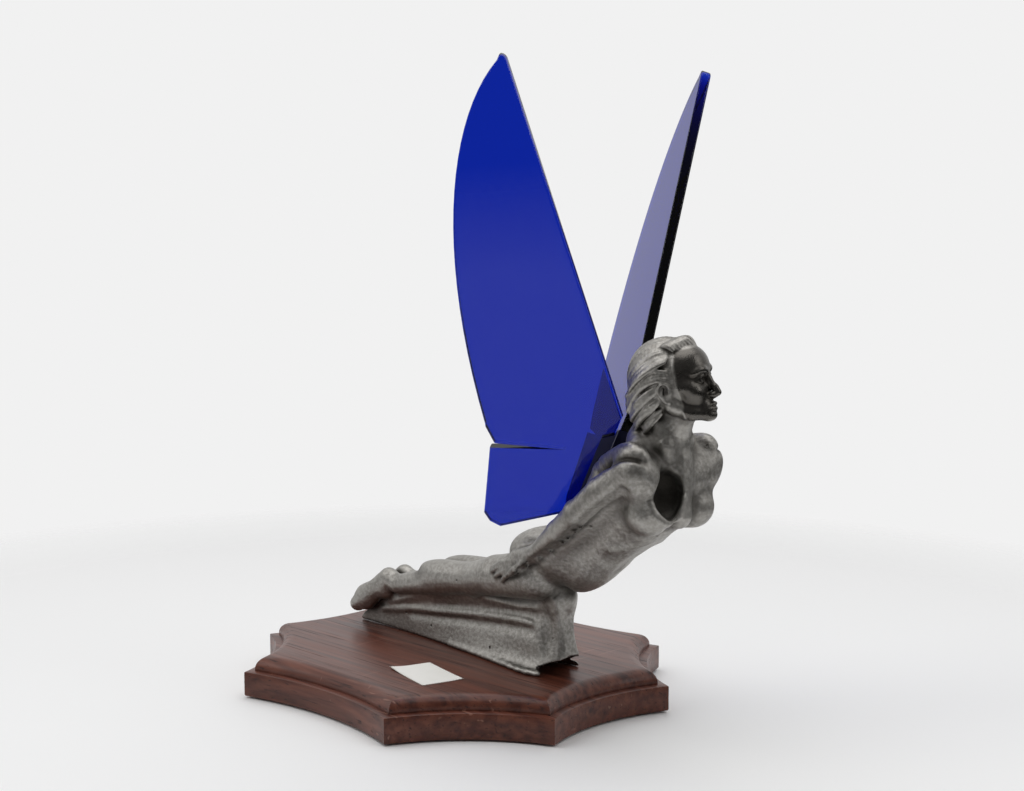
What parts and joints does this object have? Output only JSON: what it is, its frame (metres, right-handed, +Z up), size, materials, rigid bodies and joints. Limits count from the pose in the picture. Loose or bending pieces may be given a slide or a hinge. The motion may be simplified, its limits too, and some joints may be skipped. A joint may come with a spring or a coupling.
{
  "type": "hood ornament",
  "caption": "Cast metal winged lady leaning forward from a skirted base, with upright blue glass wings, bolted to a scalloped hardwood display plinth.",
  "frame": {"origin": "on the supporting surface, under the middle of the plinth", "axes": "+X the way the figure flies, +Y the figure's left, +Z up"},
  "size_m": [0.2507, 0.173, 0.2834],
  "materials": {
    "timber": "satin lacquered reddish hardwood with fine scratches",
    "baize": "green baize",
    "white_metal": "worn pewter-grey casting with pits and darkened hollows",
    "blue_glass": "transparent cobalt blue, polished faces and ground edges",
    "liner": "dark setting compound",
    "steel": "zinc plated",
    "paper": "matt blank sticker"
  },
  "bodies": {
    "root": {"plinth": "timber", "plinth_baize": "baize", "figure_casting": "white_metal", "left_wing": "blue_glass", "right_wing": "blue_glass", "left_wing_liner": "liner", "right_wing_liner": "liner", "front_stud": "steel", "rear_stud": "steel", "front_washer": "steel", "rear_washer": "steel", "front_nut": "steel", "rear_nut": "steel", "lot_label": "paper"}
  },
  "joints": []
}
